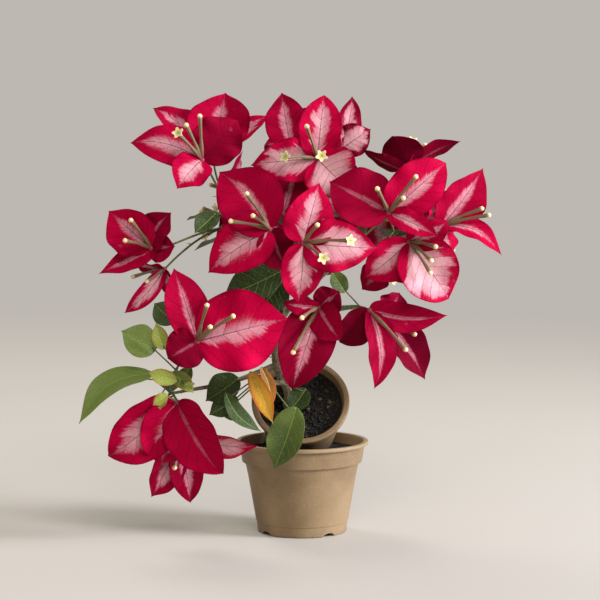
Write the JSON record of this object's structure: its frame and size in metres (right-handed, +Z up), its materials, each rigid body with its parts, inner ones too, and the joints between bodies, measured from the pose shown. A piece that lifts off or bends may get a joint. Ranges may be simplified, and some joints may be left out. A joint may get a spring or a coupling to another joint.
{
  "type": "potted bougainvillea bush",
  "caption": "Young flowering bougainvillea with red and white bracts, growing in a small tilted clay-coloured pot that is set in the soil of a larger standing pot.",
  "frame": {"origin": "centre of the standing pot's flat underside", "axes": "+Z up; the front of the plant, with the leaning pot's mouth, towards -Y; +X to the right of the front"},
  "size_m": [0.3088, 0.2417, 0.3307],
  "materials": {
    "pot": "matte tan recycled plastic with a fine grain",
    "inner_pot": "matte tan, a little darker and worn at the rim",
    "soil": "moist dark crumbly potting soil",
    "bark": "grey-brown ridged bark with thorns",
    "bracts": "papery crimson bracts with feathered pale pink centres",
    "leaves": "soft green leaves with paler veins"
  },
  "bodies": {
    "root": {"outer_pot": "pot", "outer_soil": "soil", "inner_pot": "inner_pot", "inner_soil": "soil", "trunk": "bark", "bough_foot": "bark", "bough_low_left": "bark", "bough_front_low": "bark", "bough_upper_left": "bark", "bough_right": "bark", "bough_upper_right": "bark", "bough_upper": "bark", "bough_back_left": "bark", "bough_back_right": "bark", "bough_back": "bark", "mass_low_left": "bracts", "mass_front_low": "bracts", "mass_upper_left": "bracts", "mass_upper": "bracts", "mass_upper_right": "bracts", "mass_right": "bracts", "mass_foot": "leaves", "mass_back_left": "bracts", "mass_back_right": "bracts", "mass_back": "bracts"}
  },
  "joints": []
}
